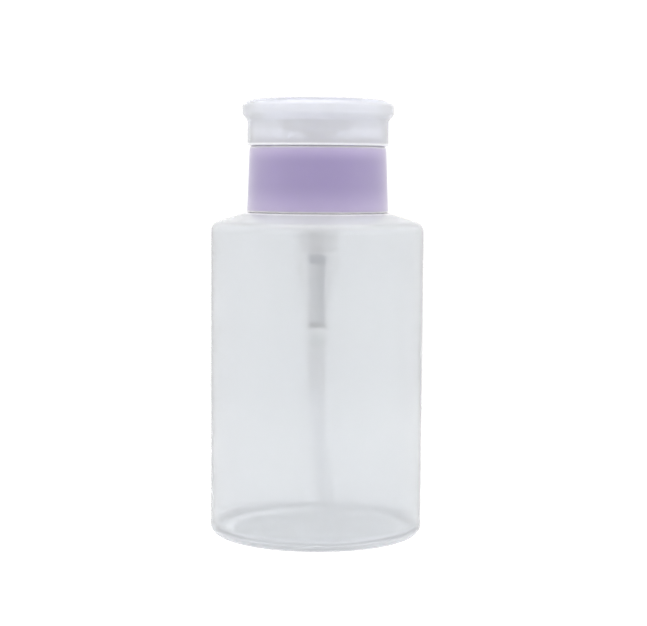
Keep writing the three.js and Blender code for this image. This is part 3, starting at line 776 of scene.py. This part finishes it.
def makeRetainer():
    s = retainerSizes
    foot, top, rim = spanOf("stem_retainer")
    underCup = s["cupFloor"] - s["floor"]
    sleeveOuter = s["sleeve"] + s["sleeveWall"]
    outline = rounded([
        (s["sleeve"], foot, small),
        (sleeveOuter, foot, eased),
        (sleeveOuter, underCup, s["sleeveRoot"]),
        (s["outer"], underCup, s["cupCorner"]),
        (s["outer"], top - s["plate"], hair),
        (rim, top - s["plate"], fine),
        (rim, top, s["edge"]),
        (s["cup"], top, eased),
        (s["cup"], s["cupFloor"], s["cupCorner"]),
        (s["guide"], s["cupFloor"], fine),
        (s["guide"], underCup, hair),
        (s["sleeve"], underCup, hair),
    ])
    return turned("retainer", outline, natural, s["facets"])


def makeGasket():
    s = gasketSizes
    foot, top, outer = spanOf("neck_gasket")
    inner = housingSizes["plug"] + s["clearance"]
    corners = (inner, foot), (outer, foot), (outer, top), (inner, top)
    return turned("gasket", rounded([(*corner, s["edge"]) for corner in corners]), soft, s["facets"])


settle(makeHousing(), "pump", "pump_housing")
settle(makeRetainer(), "pump", "stem_retainer")
settle(makeGasket(), "pump", "neck_gasket")
print("housing, retainer and gasket: made")


# valve balls

ballSizes = {"rows": 28, "facets": 48}


def makeBall(name, node):
    foot, top, radius = spanOf(node)
    middle = (foot + top) / 2
    angles = [math.pi * i / ballSizes["rows"] for i in range(1, ballSizes["rows"])]
    outline = [(radius * math.sin(a), middle - radius * math.cos(a)) for a in angles]
    return turned(name, [(0, foot), *outline, (0, top)], glass, ballSizes["facets"])


settle(makeBall("inlet_valve_ball", "inlet_ball"), "inlet_valve", "inlet_ball")
settle(makeBall("outlet_valve_ball", "outlet_ball"), "outlet_valve", "outlet_ball")
print("valve balls: made")


# return spring

springSizes = {
    "wire": 0.6, "outer": 2.6, "pitch": 1.15, "footTurns": 2.2, "headTurns": 4.2, "closeGap": 0.03,
    "stepsPerTurn": 28, "wireSides": 12, "stroke": 4}


def springTree():
    tree, given = nodeTree("coilSpring", {
        "Float": ("Foot", "Coil radius", "Wire radius", "Turns", "Foot turns", "Open turns", "Run out", "Close pitch",
                  "Open pitch"),
        "Int": ("Steps", "Wire sides")})
    line = addNode(tree, "GeometryNodeCurvePrimitiveLine")
    steps = addNode(tree, "GeometryNodeResampleCurve", {"Curve": line, "Count": given["Steps"]})
    factor = addNode(tree, "GeometryNodeSplineParameter").outputs["Factor"]
    # turns along the wire, with a short straight stretch past each end
    runOuts = addNode(tree, "ShaderNodeMath", {0: given["Run out"], 1: 2.0}, operation="MULTIPLY")
    whole = addNode(tree, "ShaderNodeMath", {0: given["Turns"], 1: runOuts}, operation="ADD")
    along = addNode(tree, "ShaderNodeMath", {0: factor, 1: whole}, operation="MULTIPLY")
    course = addNode(tree, "ShaderNodeMath", {0: along, 1: given["Run out"]}, operation="SUBTRACT")
    turn = addNode(tree, "ShaderNodeClamp", {"Value": course, "Min": 0.0, "Max": given["Turns"]})
    beyond = addNode(tree, "ShaderNodeMath", {0: course, 1: turn}, operation="SUBTRACT")
    past = addNode(tree, "ShaderNodeMath", {0: beyond, 1: math.tau}, operation="MULTIPLY")
    # close turns at both ends, open ones between them
    fromFoot = addNode(tree, "ShaderNodeMath", {0: turn, 1: given["Foot turns"]}, operation="SUBTRACT")
    opened = addNode(tree, "ShaderNodeClamp", {"Value": fromFoot, "Min": 0.0, "Max": given["Open turns"]})
    closed = addNode(tree, "ShaderNodeMath", {0: turn, 1: opened}, operation="SUBTRACT")
    closeRise = addNode(tree, "ShaderNodeMath", {0: closed, 1: given["Close pitch"]}, operation="MULTIPLY")
    openRise = addNode(tree, "ShaderNodeMath", {0: opened, 1: given["Open pitch"]}, operation="MULTIPLY")
    climb = addNode(tree, "ShaderNodeMath", {0: closeRise, 1: openRise}, operation="ADD")
    start = addNode(tree, "ShaderNodeMath", {0: given["Foot"], 1: given["Wire radius"]}, operation="ADD")
    angle = addNode(tree, "ShaderNodeMath", {0: turn, 1: math.tau}, operation="MULTIPLY")
    cosine = addNode(tree, "ShaderNodeMath", {0: angle}, operation="COSINE")
    sine = addNode(tree, "ShaderNodeMath", {0: angle}, operation="SINE")
    pastX = addNode(tree, "ShaderNodeMath", {0: sine, 1: past}, operation="MULTIPLY")
    pastY = addNode(tree, "ShaderNodeMath", {0: cosine, 1: past}, operation="MULTIPLY")
    x = addNode(tree, "ShaderNodeMath", {0: cosine, 1: pastX}, operation="SUBTRACT")
    y = addNode(tree, "ShaderNodeMath", {0: sine, 1: pastY}, operation="ADD")
    place = addNode(tree, "ShaderNodeCombineXYZ", {
        "X": addNode(tree, "ShaderNodeMath", {0: x, 1: given["Coil radius"]}, operation="MULTIPLY"),
        "Y": addNode(tree, "ShaderNodeMath", {0: y, 1: given["Coil radius"]}, operation="MULTIPLY"),
        "Z": addNode(tree, "ShaderNodeMath", {0: climb, 1: start}, operation="ADD")})
    coil = addNode(tree, "GeometryNodeSetPosition", {"Geometry": steps, "Position": place})
    wire = addNode(tree, "GeometryNodeCurvePrimitiveCircle", {
        "Resolution": given["Wire sides"], "Radius": given["Wire radius"]})
    swept = addNode(tree, "GeometryNodeCurveToMesh", {"Curve": coil, "Profile Curve": wire, "Fill Caps": True})
    smooth = addNode(tree, "GeometryNodeSetShadeSmooth", {"Geometry": swept})
    return endTree(tree, smooth, given["Material"])


springFoot, springTop, _ = spanOf("return_spring")


def makeSpring():
    s = springSizes
    closePitch = s["wire"] + s["closeGap"]
    closeTurns = s["footTurns"] + s["headTurns"]
    openTurns = (springTop - springFoot - s["wire"] - closePitch * closeTurns) / s["pitch"]
    turns = closeTurns + openTurns
    coilRadius = s["outer"] - s["wire"] / 2
    piece = meshPiece("spring", [(0, 0, springFoot)], [], steel)
    return grown(piece, springTree(), {
        "Foot": springFoot * mm, "Coil radius": coilRadius * mm, "Wire radius": s["wire"] / 2 * mm,
        "Turns": turns, "Foot turns": s["footTurns"], "Open turns": openTurns,
        "Run out": s["wire"] / (math.tau * coilRadius), "Close pitch": closePitch * mm, "Open pitch": s["pitch"] * mm,
        "Steps": round(turns * s["stepsPerTurn"]), "Wire sides": s["wireSides"], "Material": steel})


spring = settle(makeSpring(), "pump", "return_spring")
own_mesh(spring)
print("spring:", len(spring.data.polygons), "faces")


# dip tube

tubeSizes = {
    "outer": 2.2, "bore": 1.5, "reach": 5, "socketEnd": 41.094, "end": 2.2, "cut": 20, "steps": 60, "sides": 40}


def makeTube():
    s = tubeSizes
    top = spanOf("dip_tube")[1]
    lean = math.tan(math.radians(s["cut"]))
    count = s["sides"]
    verts, faces = [], []
    for i in range(s["steps"] + 1):
        height = top + (s["end"] - top) * i / s["steps"]
        bent = max(s["socketEnd"] - height, 0) / (s["socketEnd"] - s["end"])
        middle = s["reach"] * bent * bent
        slope = -2 * s["reach"] * bent / (s["socketEnd"] - s["end"])
        across = Vector((1, 0, -slope)).normalized()
        for radius in (s["outer"], s["bore"]):
            for j in range(count):
                angle = math.tau * j / count
                side = radius * math.cos(angle)
                x, z = middle + side * across.x, height + side * across.z
                if i == s["steps"]:  # the lower end is cut on a slant
                    z = s["end"] + s["outer"] * lean + (x - s["reach"]) * lean
                    x = middle + side + (z - height) * slope
                verts.append((x, radius * math.sin(angle), z))
    last = 2 * count * s["steps"]
    for a in range(0, last, 2 * count):  # outer and inner wall
        b = a + 2 * count
        for j in range(count):
            k = (j + 1) % count
            faces.append((b + j, b + k, a + k, a + j))
            faces.append((a + count + j, a + count + k, b + count + k, b + count + j))
    for j in range(count):  # both ends
        k = (j + 1) % count
        faces.append((j, k, count + k, count + j))
        faces.append((last + count + j, last + count + k, last + k, last + j))
    return meshPiece("tube", verts, faces, tubing)


tube = settle(makeTube(), "pump", "dip_tube")
print("dip tube:", len(tube.data.polygons), "faces")


# floor, light and camera

tableSizes = {
    "radius": 260, "facets": 96, "colour": "#707070", "roughness": 0.6, "gloss": 0.1, "glow": 0.88, "spot": 1.5,
    "spotEdge": (24, 29)}
lightSizes = {
    "front": 0.74, "back": 1.085, "dimmest": -0.95, "brightest": -0.3, "overhead": 0.65, "overheadFrom": 0.1,
    "overheadTo": 0.8, "backdrop": 1.1, "aim": 60, "bounces": 28}
softboxes = {
    "strip_softbox": {"place": (0, 250, 900), "width": 620, "depth": 450, "power": 4.3, "mirrored": True},
    "fill_softbox": {"place": (0, -800, 500), "width": 800, "depth": 800, "power": 6.0, "mirrored": False},
    "left_softbox": {"place": (-850, -200, 300), "width": 500, "depth": 700, "power": 1.9, "mirrored": False},
    "right_softbox": {"place": (850, -200, 300), "width": 500, "depth": 700, "power": 1.9, "mirrored": False}}
cameraSizes = {
    "distance": 490, "height": 103.33, "aside": 1.58, "pitch": 4.746, "roll": -0.393, "focalPixels": 1736.6,
    "imageWidth": 647, "sensor": 36, "nearest": 10}


def makeFloor():  # a round light table: an opal sheet lit from below, which keeps the shadow faint
    s = tableSizes
    material, tree, shader = newMaterial("opal_acrylic_light_table", {
        "Base Color": linear(s["colour"]), "Roughness": s["roughness"], "Specular IOR Level": s["gloss"],
        "Emission Color": linear("#FFFFFF")})
    radius, _ = fromAxis(tree)
    lit = addNode(tree, "ShaderNodeMix", {  # brighter under the bottle's floor
        "Factor": zone(tree, (radius, 0, s["spotEdge"])), "A": s["spot"], "B": s["glow"]})
    seen = addNode(tree, "ShaderNodeLightPath").outputs["Is Camera Ray"]
    glow = addNode(tree, "ShaderNodeMix", {"Factor": seen, "A": lit, "B": lightSizes["backdrop"]})
    tree.links.new(glow.outputs[0], shader.inputs["Emission Strength"])
    angles = [math.tau * i / s["facets"] for i in range(s["facets"])]
    rim = [(s["radius"] * math.cos(a), s["radius"] * math.sin(a), 0) for a in angles]
    meshPiece("light_table", rim, [range(s["facets"])], material)


def makeLight():  # a soft room, dimmer in front and overhead, four soft boxes, and plain white behind it all
    s = lightSizes
    world = bpy.data.worlds.new("white_studio")
    bpy.context.scene.world = world
    world.use_nodes = True
    tree = world.node_tree
    way = addNode(tree, "ShaderNodeTexCoord").outputs["Generated"]
    _, ahead, above = addNode(tree, "ShaderNodeSeparateXYZ", {0: way}).outputs
    facing = addNode(tree, "ShaderNodeMapRange", {
        "Value": ahead, "From Min": s["dimmest"], "From Max": s["brightest"], "To Min": s["front"],
        "To Max": s["back"]}, interpolation_type="SMOOTHSTEP")
    overhead = addNode(tree, "ShaderNodeMapRange", {
        "Value": above, "From Min": s["overheadFrom"], "From Max": s["overheadTo"], "To Min": 1.0,
        "To Max": s["overhead"]}, interpolation_type="SMOOTHSTEP")
    lit = addNode(tree, "ShaderNodeMath", {0: facing, 1: overhead}, operation="MULTIPLY")
    seen = addNode(tree, "ShaderNodeLightPath").outputs["Is Camera Ray"]
    strength = addNode(tree, "ShaderNodeMix", {"Factor": seen, "A": lit, "B": s["backdrop"]})
    background = tree.nodes["Background"]
    background.inputs["Color"].default_value = linear("#FFFFFF")
    tree.links.new(strength.outputs[0], background.inputs["Strength"])
    for name, box in softboxes.items():
        data = bpy.data.lights.new(name, "AREA")
        data.shape = "RECTANGLE"
        data.size = box["width"] * mm
        data.size_y = box["depth"] * mm
        data.energy = box["power"]
        lamp = bpy.data.objects.new(name, data)
        lamp.location = Vector(box["place"]) * mm
        lamp.rotation_euler = (Vector((0, 0, s["aim"])) * mm - lamp.location).to_track_quat("-Z", "Y").to_euler()
        lamp.visible_glossy = lamp.visible_transmission = box["mirrored"]  # only the strip leaves highlights
        bpy.context.scene.collection.objects.link(lamp)


def makeCamera():
    s = cameraSizes
    data = bpy.data.cameras.new("photo_camera")
    data.sensor_width = s["sensor"]
    data.lens = s["focalPixels"] * s["sensor"] / s["imageWidth"]
    data.clip_start = s["nearest"] * mm
    camera = bpy.data.objects.new("photo_camera", data)
    camera.location = (s["aside"] * mm, -s["distance"] * mm, s["height"] * mm)
    camera.rotation_euler = (math.radians(90 - s["pitch"]), math.radians(s["roll"]), 0)
    bpy.context.scene.collection.objects.link(camera)
    bpy.context.scene.camera = camera


makeFloor()
makeLight()
makeCamera()
bpy.context.scene.view_settings.view_transform = "Standard"
bpy.context.scene.cycles.max_bounces = lightSizes["bounces"]  # enough for light to cross the nested walls
bpy.context.scene.cycles.transmission_bounces = lightSizes["bounces"]
print("stage: floor, lights and camera")
